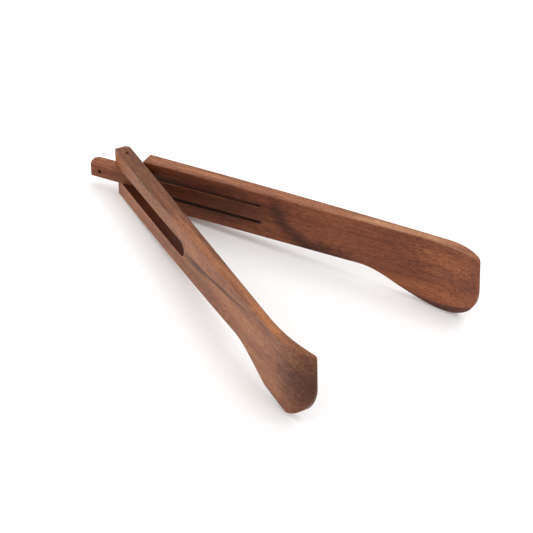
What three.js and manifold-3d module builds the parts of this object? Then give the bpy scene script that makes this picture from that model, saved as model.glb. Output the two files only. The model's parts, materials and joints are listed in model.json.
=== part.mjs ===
// Spring loaded wooden kitchen tongs: two arms, one of them with a tongue cut free to act as a leaf
// spring, and one steel pin. Millimetres, +Z up, lying open on the table with the heads towards +X.
import * as THREE from "three";
import { mergeVertices, toCreasedNormals } from "three/addons/utils/BufferGeometryUtils.js";
import Module from "manifold-3d";

const wasm = await Module();
wasm.setup();

// Each arm is drawn in its own frame: X along the arm from the pin's axis, Y outwards from the
// arm's inner face, Z up from the plank's lower edge.
const PLANK_HEIGHT = 35.5;
const PLANK_THICKNESS = 10.6; // at the hinge end
const NECK_THICKNESS = 5.1; // where the head starts to bend
const TAPER_X = 120;
const NECK_X = 248;

// Head: it flares down below the plank and bends inwards to a thin tip.
const TIP_X = 277;
const BEND_X = 225;
const TIP_INWARDS = 8.6;
const TIP_EDGE = 1.4;
const FLARE_X = 190;
const FLARE_LOW_X = 247;
const FLARE_DROP = 20.5;
const RIM_Z = 12; // where the tip's straight edge meets the round lower corner
const TIP_CORNER = 2.5;
const SHOULDER = { x: 265, y: 4.2 }; // control point of the outer face's turn towards the tip
// Each bevel under the head is the plane z = height + along * (x - FLARE_LOW_X) + out * y.
const INNER_BEVEL = { height: -14.9, along: -0.23, out: -1.4 };
const OUTER_BEVEL = { height: -28.2, along: 0, out: 2.2 };

// Spring arm: two ears stop short of the pin and the tongue runs on between them as a hanging tab.
const EAR_X = 15.9;
const TONGUE_END_X = -27.7;
const TONGUE_ROOT_X = 92.6;
const KERF_END_X = 108.7;
const KERF = 2.5;
const TONGUE_BOTTOM = 12.4;
const TONGUE_TOP = 23.4;
const TONGUE_ROOT_THICKNESS = 9.8;
const TAB_BOTTOM = 12.1;
const TAB_TOP = 22.2;
const TAB_ROUND = 3.5;
const HANGING_HOLE_X = -20.7;
const HANGING_HOLE_Z = 17;
const HANGING_HOLE_RADIUS = 1.4;

// Fork arm: an open slot with a round end leaves two prongs astride the tongue.
const FORK_END_X = -9.2;
const LOWER_PRONG_SHORTER_BY = 3;
const FORK_CORNER = 2.2;
const SLOT_BOTTOM = 11.9;
const SLOT_TOP_AT_MOUTH = 22.7;
const SLOT_TOP_AT_END = 24.1;
const SLOT_END_X = 107.6;

const PIN_RADIUS = 1.1;
const PIN_HOLE_RADIUS = 1.4;
const PIN_RECESS_TOP = 1.8;
const PIN_RECESS_BOTTOM = 1.5;
const PIN_DEPTH_SPRING = 4.9; // from the spring arm's inner face
const PIN_DEPTH_FORK = 5.3;

const GAP = 0.3;
const OPENING_ANGLE = THREE.MathUtils.degToRad(37.2);
const LYING_TILT = THREE.MathUtils.degToRad(4.81); // the flared heads hold the open end up

const BEYOND = 60; // tools reach this far past the wood
const FACETS = 32;

const wood = { color: 0x8a5233, roughness: 0.55, metalness: 0 };
const paleWood = { color: 0x9a6038, roughness: 0.55, metalness: 0 };
const steel = { color: 0x8c8c88, roughness: 0.35, metalness: 1 };

function solid(geometry) {
  geometry.deleteAttribute("normal");
  geometry.deleteAttribute("uv");
  const merged = mergeVertices(geometry, 1e-4);
  return new wasm.Manifold(new wasm.Mesh({
    numProp: 3,
    vertProperties: new Float32Array(merged.attributes.position.array),
    triVerts: new Uint32Array(merged.index.array),
  }));
}

function mesh(name, manifold, look) {
  const result = manifold.getMesh();
  const geometry = new THREE.BufferGeometry();
  geometry.setAttribute("position", new THREE.BufferAttribute(result.vertProperties, 3));
  geometry.setIndex(new THREE.BufferAttribute(result.triVerts, 1));
  const part = new THREE.Mesh(toCreasedNormals(geometry, 0.5), new THREE.MeshStandardMaterial(look));
  part.name = name;
  return part;
}

// A plan outline in X and Y, raised from one height to another.
function raised(shape, bottom, top) {
  const geometry = new THREE.ExtrudeGeometry(shape, {
    depth: top - bottom, bevelEnabled: false, curveSegments: FACETS / 2,
  });
  return solid(geometry.translate(0, 0, bottom));
}

// A side outline in X and Z, pushed through from one Y to another.
function pushedThrough(shape, near, far) {
  const geometry = new THREE.ExtrudeGeometry(shape, {
    depth: far - near, bevelEnabled: false, curveSegments: FACETS / 2,
  });
  return solid(geometry.rotateX(Math.PI / 2).translate(0, far, 0));
}

function uprightRod(radius, y, bottom, top) {
  const geometry = new THREE.CylinderGeometry(radius, radius, top - bottom, FACETS);
  return solid(geometry.rotateX(Math.PI / 2).translate(0, y, (bottom + top) / 2));
}

function planOutline(endX, endCorner) {
  const outline = new THREE.Shape();
  outline.moveTo(endX + endCorner, 0);
  outline.lineTo(BEND_X, 0);
  outline.quadraticCurveTo((BEND_X + TIP_X) / 2, 0, TIP_X - TIP_EDGE / 3, -TIP_INWARDS);
  outline.lineTo(TIP_X, TIP_EDGE - TIP_INWARDS);
  outline.quadraticCurveTo(SHOULDER.x, SHOULDER.y, NECK_X, NECK_THICKNESS);
  outline.quadraticCurveTo(TAPER_X, PLANK_THICKNESS, endX, PLANK_THICKNESS);
  outline.lineTo(endX, endCorner);
  outline.quadraticCurveTo(endX, 0, endX + endCorner, 0);
  return outline;
}

function sideOutline(endX) {
  const flareSpan = FLARE_LOW_X - FLARE_X;
  const outline = new THREE.Shape();
  outline.moveTo(endX, 0);
  outline.lineTo(FLARE_X, 0);
  outline.bezierCurveTo(
    FLARE_X + flareSpan / 3, 0, FLARE_LOW_X - flareSpan / 3, -FLARE_DROP, FLARE_LOW_X, -FLARE_DROP);
  outline.absellipse(FLARE_LOW_X, RIM_Z, TIP_X - FLARE_LOW_X, RIM_Z + FLARE_DROP, -Math.PI / 2, 0);
  outline.lineTo(TIP_X, PLANK_HEIGHT - TIP_CORNER);
  outline.quadraticCurveTo(TIP_X, PLANK_HEIGHT, TIP_X - TIP_CORNER, PLANK_HEIGHT);
  outline.lineTo(endX, PLANK_HEIGHT);
  return outline;
}

// A block whose upper face is the bevel's sloping plane.
function bevelTool(bevel) {
  const block = new THREE.BoxGeometry(2 * BEYOND, BEYOND, BEYOND).translate(0, 0, -BEYOND / 2);
  const positions = block.attributes.position;
  for (let i = 0; i < positions.count; i++) {
    const plane = bevel.height + bevel.along * positions.getX(i) + bevel.out * positions.getY(i);
    positions.setZ(i, positions.getZ(i) + plane);
  }
  return solid(block.translate(FLARE_LOW_X, 0, 0));
}

// The plank and its scoop-shaped head, with the head's lower rim bevelled from both faces.
function armBlank(endX, endCorner) {
  return pushedThrough(sideOutline(endX), -BEYOND / 2, BEYOND / 2)
    .intersect(raised(planOutline(endX, endCorner), -BEYOND, BEYOND))
    .subtract(bevelTool(INNER_BEVEL))
    .subtract(bevelTool(OUTER_BEVEL));
}

// The two kerfs and, between them, the room for the tongue up to its root.
function springCutout() {
  const radius = KERF / 2;
  const lowKerf = TONGUE_BOTTOM - radius;
  const highKerf = TONGUE_TOP + radius;
  const outline = new THREE.Shape();
  outline.moveTo(-BEYOND, lowKerf - radius);
  outline.lineTo(KERF_END_X - radius, lowKerf - radius);
  outline.absarc(KERF_END_X - radius, lowKerf, radius, -Math.PI / 2, Math.PI / 2);
  outline.lineTo(TONGUE_ROOT_X + GAP, TONGUE_BOTTOM);
  outline.lineTo(TONGUE_ROOT_X + GAP, TONGUE_TOP);
  outline.lineTo(KERF_END_X - radius, TONGUE_TOP);
  outline.absarc(KERF_END_X - radius, highKerf, radius, -Math.PI / 2, Math.PI / 2);
  outline.lineTo(-BEYOND, highKerf + radius);
  return pushedThrough(outline, -BEYOND, BEYOND);
}

function springArm() {
  return armBlank(EAR_X, 0).subtract(springCutout());
}

function tongue() {
  const side = new THREE.Shape();
  side.moveTo(TONGUE_END_X, TAB_BOTTOM);
  side.lineTo(TONGUE_ROOT_X, TONGUE_BOTTOM);
  side.lineTo(TONGUE_ROOT_X, TONGUE_TOP);
  side.lineTo(TONGUE_END_X, TAB_TOP);
  const hole = new THREE.Path();
  hole.absarc(HANGING_HOLE_X, HANGING_HOLE_Z, HANGING_HOLE_RADIUS, 0, 2 * Math.PI);
  side.holes.push(hole);

  const plan = new THREE.Shape();
  plan.moveTo(TONGUE_END_X, 0);
  plan.lineTo(TONGUE_ROOT_X, 0);
  plan.lineTo(TONGUE_ROOT_X, TONGUE_ROOT_THICKNESS);
  plan.lineTo(EAR_X, PLANK_THICKNESS);
  plan.lineTo(TONGUE_END_X + TAB_ROUND, PLANK_THICKNESS);
  plan.quadraticCurveTo(TONGUE_END_X, PLANK_THICKNESS, TONGUE_END_X, PLANK_THICKNESS - TAB_ROUND);
  return pushedThrough(side, -BEYOND, BEYOND)
    .intersect(raised(plan, 0, PLANK_HEIGHT))
    .subtract(uprightRod(PIN_HOLE_RADIUS, PIN_DEPTH_SPRING, 0, PLANK_HEIGHT));
}

function forkSlot() {
  const radius = (SLOT_TOP_AT_END - SLOT_BOTTOM) / 2;
  const lowerEndX = FORK_END_X + LOWER_PRONG_SHORTER_BY;
  const outline = new THREE.Shape();
  outline.moveTo(-BEYOND, -BEYOND);
  outline.lineTo(lowerEndX + FORK_CORNER, -BEYOND);
  outline.lineTo(lowerEndX + FORK_CORNER, 0);
  outline.quadraticCurveTo(lowerEndX, 0, lowerEndX, FORK_CORNER);
  outline.lineTo(lowerEndX, SLOT_BOTTOM);
  outline.lineTo(SLOT_END_X - radius, SLOT_BOTTOM);
  outline.absarc(SLOT_END_X - radius, SLOT_BOTTOM + radius, radius, -Math.PI / 2, Math.PI / 2);
  outline.lineTo(FORK_END_X, SLOT_TOP_AT_MOUTH);
  outline.lineTo(-BEYOND, SLOT_TOP_AT_MOUTH);
  return pushedThrough(outline, -BEYOND, BEYOND);
}

function forkArm() {
  return armBlank(FORK_END_X, FORK_CORNER)
    .subtract(forkSlot())
    .subtract(uprightRod(PIN_HOLE_RADIUS, PIN_DEPTH_FORK, -BEYOND, BEYOND));
}

function hingePin() {
  return uprightRod(PIN_RADIUS, 0, PIN_RECESS_BOTTOM, PLANK_HEIGHT - PIN_RECESS_TOP);
}

// The spring arm opens to the left of the middle line and the fork arm is its mirror image.
const springSide = new THREE.Group();
springSide.rotation.z = OPENING_ANGLE / 2;
const springFrame = new THREE.Group();
springFrame.position.y = -PIN_DEPTH_SPRING;
springFrame.add(mesh("spring_arm", springArm(), wood), mesh("spring_tongue", tongue(), paleWood));
springSide.add(springFrame);

const forkSide = new THREE.Group();
forkSide.rotation.z = -OPENING_ANGLE / 2;
const fork = forkArm().mirror([0, 1, 0]).translate([0, PIN_DEPTH_FORK, 0]);
forkSide.add(mesh("fork_arm", fork, wood), mesh("hinge_pin", hingePin(), steel));

const lying = new THREE.Group();
lying.rotation.y = -LYING_TILT;
lying.add(springSide, forkSide);

// The origin is on the table under the middle of the object's box.
const tongs = new THREE.Group();
tongs.add(lying);
const box = new THREE.Box3().setFromObject(tongs, true);
lying.position.set(-(box.min.x + box.max.x) / 2, -(box.min.y + box.max.y) / 2, -box.min.z);

export default tongs;
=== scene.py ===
"""Wooden kitchen tongs with a sprung tongue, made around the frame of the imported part.

Each board is worked straight first, in millimetres in its own frame: X along the arm from the
pin's axis, Y outwards from the arm's inner face, Z up from the board's lower edge. Then it is
tapered and bent, and laid in the part's frame, in metres.
"""

import json
from collections import namedtuple
from math import pi, radians, sin, sqrt

import bmesh
import bpy
from mathutils import Matrix, Vector
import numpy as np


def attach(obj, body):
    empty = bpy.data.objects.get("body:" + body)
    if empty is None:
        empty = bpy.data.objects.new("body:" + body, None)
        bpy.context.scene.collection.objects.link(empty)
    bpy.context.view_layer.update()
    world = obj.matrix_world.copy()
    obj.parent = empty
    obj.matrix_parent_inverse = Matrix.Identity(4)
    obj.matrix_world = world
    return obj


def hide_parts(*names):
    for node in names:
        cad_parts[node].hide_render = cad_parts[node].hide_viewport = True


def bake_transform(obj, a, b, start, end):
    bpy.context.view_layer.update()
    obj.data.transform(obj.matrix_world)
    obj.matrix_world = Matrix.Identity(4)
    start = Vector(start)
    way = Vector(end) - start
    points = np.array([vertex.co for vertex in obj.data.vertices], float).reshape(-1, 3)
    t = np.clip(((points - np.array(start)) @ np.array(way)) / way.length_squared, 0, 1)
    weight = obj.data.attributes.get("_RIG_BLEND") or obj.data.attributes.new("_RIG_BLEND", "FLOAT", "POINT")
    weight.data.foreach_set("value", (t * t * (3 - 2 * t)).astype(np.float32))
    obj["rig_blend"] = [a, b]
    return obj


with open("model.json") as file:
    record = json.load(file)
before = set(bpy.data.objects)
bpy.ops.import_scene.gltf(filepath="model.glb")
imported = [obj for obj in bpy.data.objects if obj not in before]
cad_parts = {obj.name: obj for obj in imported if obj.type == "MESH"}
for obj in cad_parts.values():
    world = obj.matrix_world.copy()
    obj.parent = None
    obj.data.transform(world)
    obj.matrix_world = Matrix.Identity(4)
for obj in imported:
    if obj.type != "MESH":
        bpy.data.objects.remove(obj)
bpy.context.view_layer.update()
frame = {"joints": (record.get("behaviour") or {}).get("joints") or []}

JOINTS = {joint["name"]: joint for joint in frame["joints"]}

bl_info = {
    "name": "Sprung Wooden Tongs",
    "version": (1, 0, 0),
    "blender": (4, 5, 0),
    "location": "View3D > Sidebar > Tongs",
    "description": "Builds wooden tongs with a sprung tongue, a forked arm and a steel pin",
    "category": "Add Mesh",
}

MM = 0.001
ALONG, OUT, UP = 0, 1, 2

# The boards, in millimetres.
BOARD_HEIGHT = 35.5
STRAIGHT_THICKNESS = 10.6
FLARE_X = 184.0  # the lower edge starts to drop
BEND_X = 225.0  # the inner face starts to hook inwards
FLARE_LOW_X = 247.0  # the lower edge is lowest
NECK_X = 248.0  # the outer face starts to turn in
SHOULDER_X = 265.0  # the point that draws that turn outwards
TIP_X = 277.0
TIP_SLANT = 0.47  # how far the tip's inner edge stands back from its outer edge
TIP_CORNER = 2.5  # radius of the tip's upper corner
RIM_Z = 12.0  # height at which the rounded rim meets the tip

# A plane that trims a head's lower rim: its height in mm, its rise along the board and outwards.
SPRING_RIM = (-17.8, -0.26, -2.6)
FORK_RIM = (-14.9, -0.23, -1.4)
OUTER_RIM = (-28.2, 0, 2.2)
RIM_FROM_X = FLARE_X + 11
# the planed rims share the cut walls' darkening: their grain, and painted shade on the rim that faces down
PLANED_SHADE = 0.8

# The hinge end, in millimetres.
EAR_X = 15.9
TAB_END_X = -27.7
FORK_END_X = -9.2
LOWER_PRONG_X = -6.2
SEAM_X = 107.45  # the tongue's root, at the kerfs' round ends
PIN_FOOT = 17.7  # height of the joint's marked point above the board's lower edge
PIN_DEPTH_SPRING = 4.9  # from the inner face to the pin's axis
PIN_DEPTH_FORK = 5.3
PIN_RADIUS = 1.1
PIN_SPAN = (1.5, BOARD_HEIGHT - 1.8)
HANGING_PLACE = (-20.7, STRAIGHT_THICKNESS / 2, 17)
OPENING = radians(37.2)

# Working allowances, in millimetres.
BEYOND = 3.0  # how far a tool reaches past the wood
BIT_LENGTH = 30
NEAR = 0.01  # places this close count as one
HAIR = 0.001  # what a full round leaves of a flat end
MARGIN = 0.1

EASED_SEGMENTS = 3
SHARP_OVER = radians(50)  # edges steeper than this are sanded
SMOOTH_UNDER = radians(32)  # edges flatter than this are shaded smooth


class TongsBoard(bpy.types.PropertyGroup):
    """The shape of both boards, in millimetres"""

    neck: bpy.props.FloatProperty(
        name="Neck", description="Thickness where the head begins to turn, in mm",
        default=5.1, min=2)
    shoulder: bpy.props.FloatProperty(
        name="Shoulder", description="Fullness of the head's outer face, in mm",
        default=4.2, min=1)
    drop: bpy.props.FloatProperty(
        name="Drop", description="How far the head hangs below the board, in mm",
        default=20.1, min=0)
    hook: bpy.props.FloatProperty(
        name="Hook", description="How far the tip turns inwards, in mm", default=8.6, min=0)
    tip: bpy.props.FloatProperty(
        name="Tip edge", description="Thickness of the tip's edge, in mm", default=1.4, min=0.5)
    easing: bpy.props.FloatProperty(
        name="Easing", description="Radius of the sanded edges, in mm", default=0.75, min=0.1)
    fork_corner: bpy.props.FloatProperty(
        name="Fork corner", description="Radius of the fork's inner corner, in mm",
        default=4.0, min=0.5)
    tab_bow: bpy.props.FloatProperty(
        name="Tab bow", description="How far the tab's end bows outwards, in mm",
        default=1.4, min=0)
    tab_corner: bpy.props.FloatProperty(
        name="Tab corner", description="Radius of the tab's outer corner, in mm",
        default=3.5, min=0.5)


class TongsCuts(bpy.types.PropertyGroup):
    """The kerfs, slot and holes, in millimetres"""

    kerf: bpy.props.FloatProperty(
        name="Kerf", description="Width of the cuts beside the tongue, in mm",
        default=2.5, min=0.5)
    tongue_low: bpy.props.FloatProperty(
        name="Tongue bottom", description="Height of the tongue's lower edge, in mm", default=12.4)
    tongue_high: bpy.props.FloatProperty(
        name="Tongue top", description="Height of the tongue's upper edge, in mm", default=23.4)
    tab_low: bpy.props.FloatProperty(
        name="Tab bottom", description="Height of the tab's lower edge, in mm", default=12.1)
    tab_high: bpy.props.FloatProperty(
        name="Tab top", description="Height of the tab's upper edge, in mm", default=22.2)
    slot_low: bpy.props.FloatProperty(
        name="Slot bottom", description="Height of the slot's lower edge, in mm", default=11.9)
    slot_high: bpy.props.FloatProperty(
        name="Slot top", description="Height of the slot's upper edge at its round end, in mm",
        default=24.1)
    slot_mouth: bpy.props.FloatProperty(
        name="Slot mouth", description="Height of the slot's upper edge at its mouth, in mm",
        default=22.7)
    slot_end: bpy.props.FloatProperty(
        name="Slot end", description="Distance from the pin to the slot's round end, in mm",
        default=107.6)
    pin_hole: bpy.props.FloatProperty(
        name="Pin hole", description="Radius of the hinge pin's hole, in mm",
        default=1.35, min=0.5)
    hanging_hole: bpy.props.FloatProperty(
        name="Hanging hole", description="Radius of the tab's hole, in mm", default=1.4, min=0.5)


class TongsWood(bpy.types.PropertyGroup):
    """The oiled wood's colours"""

    pale: bpy.props.FloatVectorProperty(
        name="Pale", description="The palest bands of the grain", subtype="COLOR",
        default=(0.40, 0.178, 0.086), min=0, max=1)
    middle: bpy.props.FloatVectorProperty(
        name="Middle", description="The wood's main colour", subtype="COLOR",
        default=(0.225, 0.084, 0.042), min=0, max=1)
    dark: bpy.props.FloatVectorProperty(
        name="Dark", description="The dark grain lines", subtype="COLOR",
        default=(0.070, 0.023, 0.014), min=0, max=1)
    roughness: bpy.props.FloatProperty(
        name="Roughness", description="Roughness of the oiled surface", default=0.46, min=0, max=1,
        subtype="FACTOR")


class TongsStudio(bpy.types.PropertyGroup):
    """The camera and the light"""

    lens: bpy.props.FloatProperty(
        name="Lens", description="Focal length on a 36 mm sensor, in mm", default=182.83, min=10)
    key: bpy.props.FloatProperty(
        name="Key light", description="Power of the large light, in watts", default=20.0, min=0)
    fill: bpy.props.FloatProperty(
        name="Fill light", description="Power of the second light, in watts", default=9.0, min=0)
    surround: bpy.props.FloatProperty(
        name="Surround", description="Brightness of the white surround", default=0.9, min=0)


# ---------------------------------------------------------------- the board's shape


def clamp(value, low, high):
    return max(low, min(high, value))


def ease(value):
    """A smooth step from 0 to 1."""
    share = clamp(value, 0, 1)
    return share * share * (3 - 2 * share)


def curve(start, pull, end, share):
    """A point of the quadratic curve from start to end, drawn towards pull."""
    return (1 - share) ** 2 * start + 2 * share * (1 - share) * pull + share ** 2 * end


def lower_outline(x, board):
    """The lower edge runs straight, drops into the head, then rounds up to the tip."""
    if x <= FLARE_LOW_X:
        return -board.drop * ease((x - FLARE_X) / (FLARE_LOW_X - FLARE_X))
    across = clamp((x - FLARE_LOW_X) / (TIP_X - FLARE_LOW_X), 0, 1)
    return RIM_Z - (RIM_Z + board.drop) * sqrt(1 - across * across)


def upper_outline(x):
    """The upper edge is straight and rounds over at the tip."""
    past = clamp(x - (TIP_X - TIP_CORNER), 0, TIP_CORNER)
    return BOARD_HEIGHT - TIP_CORNER + sqrt(TIP_CORNER ** 2 - past ** 2)


def inner_face(x, board):
    """The inner face is flat, then hooks inwards to the tip."""
    bend = clamp((x - BEND_X) / (TIP_X - TIP_SLANT - BEND_X), 0, 1)
    return -board.hook * bend * bend


def outer_face(x, board):
    """The outer face tapers towards the neck, then turns in to the tip."""
    if x <= NECK_X:
        taper = clamp((NECK_X - x) / (NECK_X - FORK_END_X), 0, 1)
        return board.neck + (STRAIGHT_THICKNESS - board.neck) * (1 - (1 - taper) ** 2)
    near, far = SHOULDER_X - NECK_X, TIP_X - SHOULDER_X
    root = sqrt(max(near * near + (far - near) * (x - NECK_X), 0))
    turn = clamp((x - NECK_X) / (near + root), 0, 1)
    return curve(board.neck, board.shoulder, board.tip - board.hook, turn)


def bend_board(point, board):
    """Moves a point of the straight board to where the tapered and bent board has it."""
    x, y, z = point
    inner, outer = inner_face(x, board), outer_face(x, board)
    edge = board.easing
    kept = min(edge, 0.3 * (outer - inner))
    if y <= edge:
        place = inner + y / edge * kept
    elif y >= STRAIGHT_THICKNESS - edge:
        place = outer - (STRAIGHT_THICKNESS - y) / edge * kept
    else:
        share = (y - edge) / (STRAIGHT_THICKNESS - 2 * edge)
        place = inner + kept + share * (outer - inner - 2 * kept)
    slant = TIP_SLANT * (1 - y / STRAIGHT_THICKNESS) * ease((x - NECK_X) / (TIP_X - NECK_X))
    return Vector((x - slant, place, z))


# ---------------------------------------------------------------- working the wood


def place_in_scene(name, data):
    """A new object of the scene, made around its data."""
    made = bpy.data.objects.new(name, data)
    bpy.context.scene.collection.objects.link(made)
    return made


def mesh_object(name, bm):
    """A new object of the scene with a copy of the worked mesh."""
    mesh = bpy.data.meshes.new(name)
    bm.to_mesh(mesh)
    return place_in_scene(name, mesh)


def block(x_span, y_span, z_span):
    """A straight block between three pairs of limits."""
    bm = bmesh.new()
    bmesh.ops.create_cube(bm, size=1)
    spans = (x_span, y_span, z_span)
    bmesh.ops.scale(bm, vec=[high - low for low, high in spans], verts=bm.verts)
    bmesh.ops.translate(bm, vec=[(high + low) / 2 for low, high in spans], verts=bm.verts)
    return bm


def drill(radius, place, axis, length, segments=28):
    """A drill bit along an axis, with its middle at a place."""
    bm = bmesh.new()
    bmesh.ops.create_cone(bm, cap_ends=True, segments=segments, radius1=radius, radius2=radius,
                          depth=length)
    turn = Vector((0, 0, 1)).rotation_difference(Vector(axis)).to_matrix()
    bmesh.ops.rotate(bm, cent=(0, 0, 0), matrix=turn, verts=bm.verts)
    bmesh.ops.translate(bm, vec=place, verts=bm.verts)
    return bm


def face_layer(bm, name):
    """The shares kept per face under a name, which the materials read."""
    layers = bm.faces.layers.float
    return layers.get(name) or layers.new(name)


def round_over(bm, edges, radius, segments, worn_and_lit=0.0):
    """Rounds edges and marks the new faces to that share for lightening: wear, and a painted highlight on
    the eased edges.
    """
    layer = face_layer(bm, "worn_and_lit")
    made = bmesh.ops.bevel(bm, geom=edges, offset=radius, offset_type="OFFSET", segments=segments,
                           profile=0.5, affect="EDGES", material=-1, clamp_overlap=True)
    if worn_and_lit:
        for face in made["faces"]:
            face[layer] = worn_and_lit


def mark_sawn_and_shaded(bm, x_span, z_span):
    """Marks the walls of the cuts for darkening: they take up more oil than the faces do,
    and the slot and kerfs get painted shade.
    """
    layer = face_layer(bm, "sawn_and_shaded")
    for face in bm.faces:
        x, _, z = face.calc_center_median()
        if abs(face.normal.y) < 0.5 and x_span[0] < x < x_span[1] and z_span[0] < z < z_span[1]:
            face[layer] = 1.0


def runs_along(edge, axis):
    """Whether an edge is parallel to an axis."""
    direction = (edge.verts[1].co - edge.verts[0].co).normalized()
    return abs(direction[axis]) > 0.99


def sharp_edges(bm, skip=lambda edge: False):
    """The sharp edges of a mesh, but for those to skip."""
    return [edge for edge in bm.edges if edge.is_manifold and not skip(edge)
            and edge.calc_face_angle(0) > SHARP_OVER]


def carve(bm, tools):
    """Cuts the tools out of the wood."""
    work = mesh_object("work", bm)
    bits = [mesh_object("bit", tool) for tool in tools]
    for bit in bits:
        cut = work.modifiers.new("cut", "BOOLEAN")
        cut.operation = "DIFFERENCE"
        cut.solver = "EXACT"
        cut.object = bit
    graph = bpy.context.evaluated_depsgraph_get()
    result = bpy.data.meshes.new_from_object(work.evaluated_get(graph))
    bm.clear()
    bm.from_mesh(result)
    bpy.data.meshes.remove(result)
    for used in [work] + bits:
        mesh = used.data
        bpy.data.objects.remove(used)
        bpy.data.meshes.remove(mesh)
    for tool in tools:
        tool.free()


def saw(bm, axis, distance):
    """A cut right across the mesh, square to an axis, that leaves both sides joined."""
    normal = Vector((0, 0, 0))
    normal[axis] = 1
    bmesh.ops.bisect_plane(bm, geom=bm.verts[:] + bm.edges[:] + bm.faces[:], dist=NEAR,
                           plane_co=normal * distance, plane_no=normal)


def saw_every(bm, axis, first, last, step):
    """Even cuts across the mesh, so that it can bend."""
    distance = first
    while distance < last:
        saw(bm, axis, distance)
        distance += step


def outline_board(first, board):
    """A straight board of full thickness with the head's outline cut."""
    bm = block((first, TIP_X), (0, STRAIGHT_THICKNESS), (0, BOARD_HEIGHT))
    flare_cuts, rim_cuts = 20, 16
    places = [FLARE_X + (FLARE_LOW_X - FLARE_X) * cut / flare_cuts
              for cut in range(flare_cuts + 1)]
    places += [FLARE_LOW_X + (TIP_X - FLARE_LOW_X) * sin(pi / 2 * cut / rim_cuts)
               for cut in range(1, rim_cuts)]
    for x in places:
        saw(bm, ALONG, x)
    for vert in bm.verts:
        x = vert.co.x
        vert.co.z = upper_outline(x) if vert.co.z > BOARD_HEIGHT / 2 else lower_outline(x, board)
    return bm


def plane_rim(bm, height, along, out):
    """Removes what lies below a sloping plane on the head, and closes the cut."""
    head = [item for group in (bm.verts, bm.edges, bm.faces) for item in group
            if all(vert.co.x > RIM_FROM_X for vert in getattr(item, "verts", [item]))]
    cut = bmesh.ops.bisect_plane(bm, geom=head, dist=1e-4, plane_co=(FLARE_LOW_X, 0, height),
                                 plane_no=Vector((-along, -out, 1)).normalized(),
                                 clear_inner=True)
    loop = [item for item in cut["geom_cut"] if isinstance(item, bmesh.types.BMEdge)]
    planed = bmesh.ops.holes_fill(bm, edges=loop, sides=0)["faces"]
    layer = face_layer(bm, "sawn_and_shaded")
    for face in planed:
        face[layer] = PLANED_SHADE
        for edge in face.edges:
            edge.smooth = False


def bend_and_plane(bm, board, inner_rim):
    """Tapers and bends the board, then planes the head's lower rim from both faces."""
    saw_every(bm, ALONG, FORK_END_X + 6, FLARE_X - 3, 8)
    saw_every(bm, UP, -board.drop + 2.5, BOARD_HEIGHT - 2, 3.1)
    for vert in bm.verts:
        vert.co = bend_board(vert.co, board)
    for height, along, out in (inner_rim, OUTER_RIM):
        plane_rim(bm, height, along, out)


# ---------------------------------------------------------------- laying the pieces down


def lying_matrix():
    """The tongs' frame on the table: Z up the pin, X midway between the arms."""
    up = Vector(JOINTS["arm_pivot"]["axis"]).normalized()
    along = Vector((up.z, 0, -up.x))
    foot = Vector(JOINTS["arm_pivot"]["pos_m"]) - up * PIN_FOOT * MM
    turn = Matrix((along, Vector((0, 1, 0)), up)).transposed()
    return Matrix.Translation(foot) @ turn.to_4x4() @ Matrix.Scale(MM, 4)


def unmirrored_matrix(side):
    """Where an arm lies, without the fork arm's mirroring."""
    depth = PIN_DEPTH_SPRING if side > 0 else PIN_DEPTH_FORK
    return (lying_matrix() @ Matrix.Rotation(side * OPENING / 2, 4, "Z")
            @ Matrix.Translation((0, -side * depth, 0)))


def arm_matrix(side):
    """side is 1 for the spring arm and -1 for the fork arm, its mirror image."""
    return unmirrored_matrix(side) @ Matrix.Diagonal((1, side, 1, 1))


def finish_piece(name, bm, matrix, material):
    """Lays the mesh down, turns its faces outwards and makes the object."""
    bmesh.ops.remove_doubles(bm, verts=bm.verts, dist=1e-4)
    bmesh.ops.transform(bm, matrix=matrix, verts=bm.verts)
    bmesh.ops.recalc_face_normals(bm, faces=bm.faces)
    for face in bm.faces:
        face.smooth = True
    for edge in bm.edges:
        edge.smooth = edge.smooth and edge.calc_face_angle(0) < SMOOTH_UNDER
    piece = mesh_object(name, bm)
    bm.free()
    piece.data.materials.append(material)
    flat = piece.modifiers.new("flat faces", "WEIGHTED_NORMAL")
    flat.keep_sharp = True
    flat.weight = 80
    return piece


# ---------------------------------------------------------------- the wood's look


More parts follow.
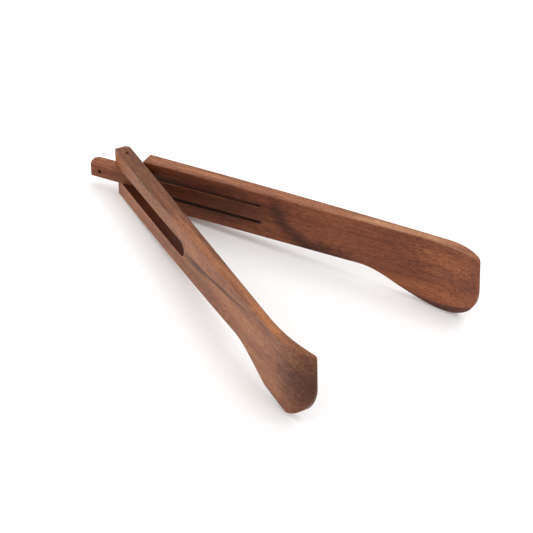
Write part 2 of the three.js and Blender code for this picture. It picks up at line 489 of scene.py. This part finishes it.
class Bench:
    """Adds nodes to a tree and joins them up."""

    def __init__(self, tree):
        self.tree = tree

    def add(self, kind, values=None, **settings):
        node = self.tree.nodes.new(kind)
        for key, value in settings.items():
            setattr(node, key, value)
        for key, value in (values or {}).items():
            self.feed(node.inputs[key], value)
        return node

    def feed(self, socket, value):
        if isinstance(value, bpy.types.NodeSocket):
            self.tree.links.new(value, socket)
        else:
            socket.default_value = value

    def math(self, operation, *values, clamped=False):
        node = self.add("ShaderNodeMath", dict(enumerate(values)), operation=operation)
        node.use_clamp = clamped
        return node.outputs[0]

    def vector(self, operation, *values):
        return self.add("ShaderNodeVectorMath", dict(enumerate(values)), operation=operation)

    def stretch(self, place, scale, offset=(0, 0, 0)):
        return self.add("ShaderNodeMapping", {"Vector": place, "Location": offset,
                                              "Scale": scale}).outputs[0]

    def noise(self, place, scale, detail=2.0, rough=0.5, offset=(0, 0, 0)):
        """Noise over a place that is first scaled along each axis and moved by an offset."""
        return self.add("ShaderNodeTexNoise", {
            "Vector": self.stretch(place, scale, offset), "Scale": 1.0, "Detail": detail,
            "Roughness": rough}).outputs["Fac"]

    def between(self, value, low, high, to_low=0.0, to_high=1.0):
        return self.add("ShaderNodeMapRange", {
            "Value": value, "From Min": low, "From Max": high, "To Min": to_low,
            "To Max": to_high}, interpolation_type="SMOOTHSTEP").outputs[0]

    def mix(self, share, first, second, blend="MIX"):
        node = self.add("ShaderNodeMix", data_type="RGBA", blend_type=blend)
        sockets = {socket.identifier: socket for socket in node.inputs}
        self.feed(sockets["Factor_Float"], share)
        self.feed(sockets["A_Color"], first)
        self.feed(sockets["B_Color"], second)
        return next(socket for socket in node.outputs if socket.identifier == "Result_Color")

    def swing(self, value, strength):
        """A value around a half, as a swing either way."""
        return self.math("MULTIPLY", self.math("SUBTRACT", value, 0.5), strength)


def new_group(name, inputs, outputs):
    """A node group with its sockets, the bench that fills it, and its two ends."""
    group = bpy.data.node_groups.new(name, "ShaderNodeTree")
    for label, kind, default in inputs:
        socket = group.interface.new_socket(label, in_out="INPUT", socket_type=kind)
        if default is not None:
            socket.default_value = default
    for label, kind in outputs:
        group.interface.new_socket(label, in_out="OUTPUT", socket_type=kind)
    given = group.nodes.new("NodeGroupInput").outputs
    out = group.nodes.new("NodeGroupOutput").inputs
    return group, Bench(group), given, out


def new_material(name):
    material = bpy.data.materials.new(name)
    material.use_nodes = True
    material.node_tree.nodes.clear()
    return material, Bench(material.node_tree)


def rgba(colour):
    return (*colour, 1.0)


def grain_group(wood):
    """Growth rings, long streaks, fibres and open pores, from a place in millimetres."""
    group, bench, given, out = new_group(
        "wood grain",
        [("Place", "NodeSocketVector", None), ("Heart", "NodeSocketVector", (0, -30, 12)),
         ("Streaks", "NodeSocketFloat", 1.0), ("Tone", "NodeSocketFloat", 0.5)],
        [("Color", "NodeSocketColor"), ("Height", "NodeSocketFloat"),
         ("Pores", "NodeSocketFloat")])
    place = given["Place"]

    # The rings lie around the log's heart, which wanders along the board.
    wander = bench.math("MULTIPLY", bench.noise(place, (0.011, 0.03, 0.03), 1.0), 46.0)
    sway = bench.add("ShaderNodeCombineXYZ", {"Y": wander}).outputs[0]
    from_heart = bench.vector("SUBTRACT", place, given["Heart"]).outputs[0]
    swayed = bench.vector("ADD", from_heart, sway).outputs[0]
    radial = bench.vector("MULTIPLY", swayed, (0, 1, 1)).outputs[0]
    radius = bench.vector("LENGTH", radial).outputs["Value"]
    ripple = bench.noise(place, (0.05, 0.4, 0.4), 3.0)
    rings = bench.math("ADD", bench.math("MULTIPLY", radius, 0.36),
                       bench.math("MULTIPLY", ripple, 1.1))
    ring = bench.math("FRACT", rings)
    late = bench.math("MULTIPLY", bench.between(ring, 0.35, 0.93), bench.between(ring, 1.0, 0.94))
    shown = bench.between(bench.noise(place, (0.02, 0.1, 0.1)), 0.35, 0.7)
    late = bench.math("MULTIPLY", late, shown)

    broad = bench.noise(place, (0.010, 0.11, 0.075), 3.0, 0.55, (3.1, 0, 0))
    streak = bench.noise(place, (0.022, 0.9, 0.9), 4.0, 0.62)
    fibre = bench.noise(place, (0.10, 1.5, 1.5), 4.0, 0.72)
    speck = bench.noise(place, (0.34, 1.1, 1.1), 3.0, 0.7)
    tone = given["Tone"]
    for layer, strength in ((broad, 1.1), (streak, given["Streaks"]), (fibre, 1.25), (speck, 1.1)):
        tone = bench.math("ADD", tone, bench.swing(layer, strength))
    tone = bench.math("SUBTRACT", tone, bench.math("MULTIPLY", late, 0.16), clamped=True)
    ramp = bench.add("ShaderNodeValToRGB", {"Fac": tone})
    stops = ramp.color_ramp.elements
    stops[0].color = rgba(wood.dark)
    stops[1].color = rgba(wood.pale)
    stops.new(0.47).color = rgba(wood.middle)

    cells = bench.add("ShaderNodeTexVoronoi", {
        "Vector": bench.stretch(place, (0.17, 1.05, 1.05)), "Scale": 1.0, "Randomness": 1.0})
    chosen = bench.between(bench.noise(place, (0.12, 0.7, 0.7), offset=(9, 0, 0)), 0.46, 0.6)
    pore = bench.math("MULTIPLY", bench.between(cells.outputs["Distance"], 0.34, 0.12), chosen)
    pored = bench.mix(bench.math("MULTIPLY", pore, 0.62), ramp.outputs[0],
                      rgba([channel * 0.42 for channel in wood.dark]))
    bench.feed(out["Color"], pored)
    bench.feed(out["Height"], bench.math("SUBTRACT", bench.math("MULTIPLY", fibre, 0.35), pore))
    bench.feed(out["Pores"], pore)
    return group


def patch_group():
    """A soft oval mask with a wandering edge: 1 at its middle and 0 outside it."""
    group, bench, given, out = new_group(
        "grain patch",
        [("Place", "NodeSocketVector", None), ("Middle", "NodeSocketVector", None),
         ("Size", "NodeSocketVector", (10, 10, 10)), ("Soft", "NodeSocketFloat", 0.5),
         ("Slant", "NodeSocketFloat", 0.0)],
        [("Mask", "NodeSocketFloat")])
    level = bench.vector("SUBTRACT", given["Place"], given["Middle"]).outputs[0]
    along = bench.add("ShaderNodeSeparateXYZ", {0: level}).outputs["X"]
    rise = bench.add("ShaderNodeCombineXYZ", {
        "Z": bench.math("MULTIPLY", along, given["Slant"])}).outputs[0]
    away = bench.vector("SUBTRACT", level, rise).outputs[0]
    scaled = bench.vector("DIVIDE", away, given["Size"]).outputs[0]
    length = bench.vector("LENGTH", scaled).outputs["Value"]
    rough = bench.noise(given["Place"], (0.05, 0.5, 0.5), 3.0, 0.6)
    reach = bench.math("ADD", length, bench.swing(rough, 0.7))
    start = bench.math("SUBTRACT", 1.0, given["Soft"])
    bench.feed(out["Mask"], bench.between(reach, start, 1.0, 1.0, 0.0))
    return group


# A patch is an oval of the board that is made darker or paler: some follow the wood's own figure
# and colour, some are painted shade or a painted highlight, as marked. Its middle and size are in
# mm in the board's own frame; soft is how far its edge fades, slant is how much it rises along the
# board, and tint multiplies the wood's colour.
Patch = namedtuple("Patch", "middle size soft slant tint strength")

# painted shade where the fork arm shades the inner faces near the hinge
HINGE_SHADE = Patch((60, 0, 22), (112, 5, 30), 0.9, 0.0, (0.34, 0.24, 0.19), 1.0)
SPRING_PATCHES = [
    # the dark sweep past the kerfs, in three lengths
    Patch((122, 0, 22), (11, 8, 15), 0.9, -1.0, (0.36, 0.30, 0.28), 0.8),
    Patch((136, 0, 8), (20, 8, 10), 0.9, -0.5, (0.36, 0.30, 0.28), 0.85),
    Patch((158, 0, 0), (36, 8, 9), 0.8, -0.08, (0.30, 0.24, 0.24), 0.9),
    HINGE_SHADE,
    # the upper edge, lightened and cooled all along, and a painted highlight on it before the head
    Patch((140, 5, 37), (400, 90, 2.8), 0.25, 0.0, (1.20, 1.50, 1.80), 1.0),
    Patch((216, 5, 36.5), (54, 60, 2.9), 0.6, 0.0, (1.55, 1.95, 2.05), 0.95),
    # the middle of the head
    Patch((248, -2, 20), (36, 12, 22), 0.9, 0.0, (1.36, 1.48, 1.42), 0.95),
]
TONGUE_PATCHES = [
    # painted shade near the hinge, as on the arm
    HINGE_SHADE,
    # the tab, and its upper edge
    Patch((-12, 8, 17), (42, 8, 40), 0.6, 0.0, (1.20, 1.36, 1.42), 0.9),
    Patch((-16, 9, 22), (34, 8, 2.5), 0.5, 0.0, (1.20, 1.25, 1.22), 0.9),
]
FORK_PATCHES = [
    # the upper edge: dark at the hinge and along its inner side, pale at the neck
    Patch((40, 5, 38), (75, 50, 5.2), 0.35, 0.0, (0.42, 0.38, 0.43), 0.8),
    Patch((122, 0, 36), (72, 5, 5), 0.7, 0.0, (0.42, 0.36, 0.36), 0.85),
    Patch((228, 4, 36.5), (32, 6, 3.4), 0.7, 0.0, (1.45, 1.50, 1.20), 0.9),
    # the dark vein from the slot's end, and the pale band below it
    Patch((128, 9, 18.5), (28, 8, 5.0), 0.8, 0.11, (0.34, 0.29, 0.31), 0.9),
    Patch((165, 9, 23.5), (62, 8, 2.4), 0.8, 0.12, (0.30, 0.25, 0.27), 1.0),
    Patch((185, 10, 11), (48, 6, 9), 0.9, 0.05, (1.50, 1.45, 1.35), 0.8),
    # the head, darkened: painted shade where it turns away from the light
    Patch((282, -2, 8), (54, 30, 54), 0.85, 0.0, (0.32, 0.24, 0.21), 1.0),
]

SPRING_GRAIN = {"side": 1, "heart": (0, -46, 14), "tone": 0.48, "streaks": 0.5,
                "stain": (0.86, 0.66, 0.52)}
FORK_GRAIN = {"side": -1, "heart": (0, -38, 34), "tone": 0.6, "streaks": 0.7,
              "stain": (0.90, 0.84, 0.75)}
# the cut walls' darkening: oil-soaked grain, and painted shade in the slot and kerfs
SAWN_AND_SHADE_TINT = (0.20, 0.08, 0.05)
STEEL_DARK, STEEL_PALE = (0.26, 0.25, 0.24), (0.42, 0.41, 0.39)


def wood_material(name, patches, wood, side, heart, tone, streaks, stain):
    """Oiled hardwood, its grain along the board it is on."""
    material, bench = new_material(name)
    spot, turn, _ = unmirrored_matrix(side).decompose()
    place = bench.add("ShaderNodeMapping", {
        "Vector": bench.add("ShaderNodeTexCoord").outputs["Object"], "Location": spot,
        "Rotation": turn.to_euler("XYZ"), "Scale": (MM, side * MM, MM)},
        vector_type="TEXTURE").outputs[0]
    groups = bpy.data.node_groups
    grain = bench.add("ShaderNodeGroup", node_tree=groups.get("wood grain") or grain_group(wood))
    for key, value in (("Place", place), ("Heart", heart), ("Tone", tone), ("Streaks", streaks)):
        bench.feed(grain.inputs[key], value)
    colour = bench.mix(1.0, grain.outputs["Color"], rgba(stain), "MULTIPLY")
    for patch in patches:
        mask = bench.add("ShaderNodeGroup", node_tree=groups.get("grain patch") or patch_group())
        for key, value in (("Place", place), ("Middle", patch.middle), ("Size", patch.size),
                           ("Soft", patch.soft), ("Slant", patch.slant)):
            bench.feed(mask.inputs[key], value)
        share = bench.math("MULTIPLY", mask.outputs["Mask"], patch.strength)
        colour = bench.mix(share, colour, rgba(patch.tint), "MULTIPLY")
    # Eased edges are lightened in patches: wear, and a painted highlight where they catch the light.
    worn_and_lit = bench.add("ShaderNodeAttribute", attribute_name="worn_and_lit").outputs["Fac"]
    rub_and_glint = bench.noise(place, (0.08, 0.5, 0.5), 3.0)
    worn_and_lit = bench.math("MULTIPLY", worn_and_lit, bench.between(rub_and_glint, 0.3, 0.65, 0.1, 0.4))
    colour = bench.mix(worn_and_lit, colour, rgba(wood.pale))
    # Cut walls and planed rims are darkened: partly the oil their grain takes up, partly painted shade in
    # the recesses and under the head's rim.
    sawn_and_shaded = bench.add("ShaderNodeAttribute", attribute_name="sawn_and_shaded").outputs["Fac"]
    sawn_and_shaded = bench.math("MULTIPLY", sawn_and_shaded, 0.92)
    colour = bench.mix(sawn_and_shaded, colour, rgba(SAWN_AND_SHADE_TINT), "MULTIPLY")
    satin = bench.math("ADD", bench.math("MULTIPLY", grain.outputs["Pores"], 0.25),
                       wood.roughness)
    bump = bench.add("ShaderNodeBump", {"Height": grain.outputs["Height"], "Strength": 0.25,
                                        "Distance": 0.00012})
    shader = bench.add("ShaderNodeBsdfPrincipled", {
        "Base Color": colour, "Roughness": satin, "Normal": bump.outputs[0],
        "Specular IOR Level": 0.2})
    bench.add("ShaderNodeOutputMaterial", {"Surface": shader.outputs[0]})
    return material


def steel_material():
    """Drawn steel, streaked along the pin."""
    material, bench = new_material("pin steel")
    coordinates = bench.add("ShaderNodeTexCoord").outputs["Object"]
    drawn = bench.noise(coordinates, (9000, 9000, 300), 3.0, 0.6)
    tint = bench.mix(bench.between(drawn, 0.3, 0.7), rgba(STEEL_DARK), rgba(STEEL_PALE))
    shader = bench.add("ShaderNodeBsdfPrincipled", {
        "Base Color": tint, "Roughness": bench.between(drawn, 0.3, 0.7, 0.3, 0.5),
        "Metallic": 1.0})
    bench.add("ShaderNodeOutputMaterial", {"Surface": shader.outputs[0]})
    return material


# ---------------------------------------------------------------- the pieces


class TONGS_OT_spring_arm(bpy.types.Operator):
    """Make the arm whose board is cut for the sprung tongue"""

    bl_idname = "tongs.spring_arm"
    bl_label = "Spring Arm"

    def execute(self, context):
        board, cuts = context.scene.tongs_board, context.scene.tongs_cuts
        bm = outline_board(EAR_X, board)
        through = (-BEYOND, STRAIGHT_THICKNESS + BEYOND)
        low, high, half = cuts.tongue_low, cuts.tongue_high, cuts.kerf / 2
        first = EAR_X - BEYOND
        tools = [block((first, SEAM_X), through, (low - half, high + half))]
        for bottom in (low - cuts.kerf, high):
            kerf = block((first, SEAM_X + half), through, (bottom, bottom + cuts.kerf))
            ends = [edge for edge in kerf.edges
                    if runs_along(edge, OUT) and edge.verts[0].co.x > SEAM_X]
            round_over(kerf, ends, half - HAIR, 6)
            tools.append(kerf)
        carve(bm, tools)
        mark_sawn_and_shaded(bm, (EAR_X + MARGIN, SEAM_X + cuts.kerf),
                  (low - cuts.kerf - MARGIN, high + cuts.kerf + MARGIN))

        def at_seam(edge):
            return any(abs(face.calc_center_median().x - SEAM_X) < NEAR
                       and abs(face.normal.x) > 0.9 for face in edge.link_faces)

        round_over(bm, sharp_edges(bm, at_seam), board.easing, EASED_SEGMENTS, 1.0)
        bend_and_plane(bm, board, SPRING_RIM)
        wood = wood_material("spring arm wood", SPRING_PATCHES, context.scene.tongs_wood,
                             **SPRING_GRAIN)
        arm = finish_piece("spring_arm_board", bm, arm_matrix(1), wood)
        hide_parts("spring_arm")
        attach(arm, "spring_arm")
        return {"FINISHED"}


class TONGS_OT_tongue(bpy.types.Operator):
    """Make the tongue, which bends out of the spring arm and ends in a tab"""

    bl_idname = "tongs.tongue"
    bl_label = "Spring Tongue"

    def execute(self, context):
        board, cuts = context.scene.tongs_board, context.scene.tongs_cuts
        bm = block((TAB_END_X, SEAM_X), (0, STRAIGHT_THICKNESS),
                   (cuts.tongue_low, cuts.tongue_high))
        for share in (0.2, 0.4, 0.6, 0.8):
            saw(bm, OUT, STRAIGHT_THICKNESS * share)
        for vert in bm.verts:
            if vert.co.x < 0:
                vert.co.z = cuts.tab_high if vert.co.z > PIN_FOOT else cuts.tab_low
                vert.co.x -= board.tab_bow * sin(pi * vert.co.y / STRAIGHT_THICKNESS)
        corner = [edge for edge in bm.edges if runs_along(edge, UP)
                  and edge.verts[0].co.x < 0 and edge.verts[0].co.y > STRAIGHT_THICKNESS - 1]
        round_over(bm, corner, board.tab_corner, 7)

        def at_seam(edge):
            return all(abs(vert.co.x - SEAM_X) < NEAR for vert in edge.verts)

        round_over(bm, sharp_edges(bm, at_seam), board.easing, EASED_SEGMENTS, 1.0)
        pin_place = (0, PIN_DEPTH_SPRING, PIN_FOOT)
        carve(bm, [drill(cuts.pin_hole, pin_place, (0, 0, 1), BIT_LENGTH),
                   drill(cuts.hanging_hole, HANGING_PLACE, (0, 1, 0), BIT_LENGTH)])
        # The cuts stand closer where the tongue bends.
        coarse_step, fine_step, fine_from_x = 6.2, 2.6, 60
        x = TAB_END_X + 12
        while x < SEAM_X - 2:
            saw(bm, ALONG, x)
            x += fine_step if x > fine_from_x else coarse_step
        for vert in bm.verts:
            vert.co = bend_board(vert.co, board)
        wood = wood_material("tongue wood", TONGUE_PATCHES, context.scene.tongs_wood,
                             **SPRING_GRAIN)
        matrix = arm_matrix(1)
        tongue = finish_piece("spring_tongue_leaf", bm, matrix, wood)
        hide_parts("spring_tongue")
        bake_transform(tongue, "spring_arm", "spring_tongue",
                 start=matrix @ Vector((SEAM_X - 0.5, 0, PIN_FOOT)),
                 end=matrix @ Vector((76, 0, PIN_FOOT)))
        return {"FINISHED"}


class TONGS_OT_fork_arm(bpy.types.Operator):
    """Make the arm whose slotted end straddles the tongue"""

    bl_idname = "tongs.fork_arm"
    bl_label = "Fork Arm"

    def execute(self, context):
        board, cuts = context.scene.tongs_board, context.scene.tongs_cuts
        bm = outline_board(FORK_END_X, board)
        through = (-BEYOND, STRAIGHT_THICKNESS + BEYOND)
        low, high = cuts.slot_low, cuts.slot_high
        slot = block((FORK_END_X - 0.05, cuts.slot_end), through, (low, high))
        ends = [edge for edge in slot.edges if runs_along(edge, OUT) and edge.verts[0].co.x > 0]
        round_over(slot, ends, (high - low) / 2 - HAIR, 12)
        for vert in slot.verts:
            if vert.co.x < 0 and vert.co.z > PIN_FOOT:
                vert.co.z = cuts.slot_mouth
        shortening = block((FORK_END_X - BEYOND, LOWER_PRONG_X), through, (-BEYOND, low + 1))
        carve(bm, [slot, shortening])
        mark_sawn_and_shaded(bm, (FORK_END_X + MARGIN, cuts.slot_end + 1), (low - MARGIN, high + MARGIN))
        corners = [edge for edge in bm.edges if runs_along(edge, UP)
                   and edge.verts[0].co.x < LOWER_PRONG_X + 1 and edge.verts[0].co.y < 1
                   and edge.calc_face_angle(0) > 1]
        round_over(bm, corners, board.fork_corner, 6)
        round_over(bm, sharp_edges(bm), board.easing, EASED_SEGMENTS, 1.0)
        pin_place = (0, PIN_DEPTH_FORK, PIN_FOOT)
        carve(bm, [drill(cuts.pin_hole, pin_place, (0, 0, 1), 2 * BIT_LENGTH)])
        bend_and_plane(bm, board, FORK_RIM)
        wood = wood_material("fork arm wood", FORK_PATCHES, context.scene.tongs_wood,
                             **FORK_GRAIN)
        arm = finish_piece("fork_arm_board", bm, arm_matrix(-1), wood)
        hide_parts("fork_arm")
        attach(arm, "fork_arm")
        return {"FINISHED"}


class TONGS_OT_hinge_pin(bpy.types.Operator):
    """Make the steel pin with its rounded ends"""

    bl_idname = "tongs.hinge_pin"
    bl_label = "Hinge Pin"

    def execute(self, context):
        low, high = PIN_SPAN
        bm = drill(PIN_RADIUS, (0, 0, (low + high) / 2), (0, 0, 1), high - low, segments=32)
        round_over(bm, sharp_edges(bm), 0.35, 4)
        pin = finish_piece("hinge_pin_rod", bm, lying_matrix(), steel_material())
        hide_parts("hinge_pin")
        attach(pin, "fork_arm")
        return {"FINISHED"}


# ---------------------------------------------------------------- the studio

FLOOR_REACH = 3
FLOOR_WHITE = (0.93, 0.93, 0.93, 1)
KEY_PLACE, KEY_SIZE = (0.35, 0.55, 1.9), 2.2
FILL_PLACE, FILL_SIZE = (-1.2, -0.9, 0.9), 0.9
CAMERA_PLACE = (1.0354, -1.03247, 1.15146)
CAMERA_RIGHT = (0.691356, 0.721457, 0.039073)
CAMERA_UP = (-0.466637, 0.404572, 0.786493)


def area_light(name, place, size, power):
    """A soft round light that looks at the origin."""
    light = bpy.data.lights.new(name, "AREA")
    light.shape = "DISK"
    light.size = size
    light.energy = power
    lamp = place_in_scene(name, light)
    lamp.location = place
    lamp.rotation_euler = (-Vector(place)).to_track_quat("-Z", "Y").to_euler()


class TONGS_OT_studio(bpy.types.Operator):
    """Make the pale floor, the soft lights and the camera"""

    bl_idname = "tongs.studio"
    bl_label = "Studio"

    def execute(self, context):
        scene, studio = context.scene, context.scene.tongs_studio
        bm = bmesh.new()
        bmesh.ops.create_grid(bm, x_segments=8, y_segments=8, size=FLOOR_REACH)
        floor = mesh_object("floor", bm)
        bm.free()
        material = bpy.data.materials.new("white floor")
        material.use_nodes = True
        shader = material.node_tree.nodes["Principled BSDF"]
        shader.inputs["Base Color"].default_value = FLOOR_WHITE
        shader.inputs["Roughness"].default_value = 0.9
        shader.inputs["Specular IOR Level"].default_value = 0.1
        floor.data.materials.append(material)

        world = bpy.data.worlds.new("white surround")
        world.use_nodes = True
        background = world.node_tree.nodes["Background"]
        background.inputs["Color"].default_value = (1, 1, 1, 1)
        background.inputs["Strength"].default_value = studio.surround
        scene.world = world
        area_light("key light", KEY_PLACE, KEY_SIZE, studio.key)
        area_light("fill light", FILL_PLACE, FILL_SIZE, studio.fill)

        lens = bpy.data.cameras.new("camera")
        lens.sensor_width = 36
        lens.lens = studio.lens
        camera = place_in_scene("camera", lens)
        right, up = Vector(CAMERA_RIGHT), Vector(CAMERA_UP)
        turn = Matrix((right, up, right.cross(up))).transposed()
        camera.matrix_world = Matrix.Translation(CAMERA_PLACE) @ turn.to_4x4()
        scene.camera = camera
        scene.view_settings.view_transform = "Standard"
        return {"FINISHED"}


class TONGS_PT_panel(bpy.types.Panel):
    """Lists the pieces and their sizes"""

    bl_label = "Sprung Wooden Tongs"
    bl_idname = "TONGS_PT_panel"
    bl_space_type = "VIEW_3D"
    bl_region_type = "UI"
    bl_category = "Tongs"

    def draw(self, context):
        for operator in OPERATORS:
            self.layout.operator(operator.bl_idname)
        for holder in HOLDERS:
            settings = getattr(context.scene, holder)
            for name in type(settings).__annotations__:
                self.layout.prop(settings, name)


OPERATORS = (TONGS_OT_spring_arm, TONGS_OT_tongue, TONGS_OT_fork_arm, TONGS_OT_hinge_pin,
             TONGS_OT_studio)
HOLDERS = {"tongs_board": TongsBoard, "tongs_cuts": TongsCuts, "tongs_wood": TongsWood,
           "tongs_studio": TongsStudio}


def register():
    for group in HOLDERS.values():
        bpy.utils.register_class(group)
    for operator in OPERATORS:
        bpy.utils.register_class(operator)
    bpy.utils.register_class(TONGS_PT_panel)
    for name, group in HOLDERS.items():
        setattr(bpy.types.Scene, name, bpy.props.PointerProperty(type=group))


def unregister():
    for name in HOLDERS:
        delattr(bpy.types.Scene, name)
    bpy.utils.unregister_class(TONGS_PT_panel)
    for operator in reversed(OPERATORS):
        bpy.utils.unregister_class(operator)
    for group in HOLDERS.values():
        bpy.utils.unregister_class(group)


def main():
    register()
    bpy.ops.tongs.spring_arm()
    bpy.ops.tongs.tongue()
    bpy.ops.tongs.fork_arm()
    bpy.ops.tongs.hinge_pin()
    bpy.ops.tongs.studio()


if __name__ == "__main__":
    main()
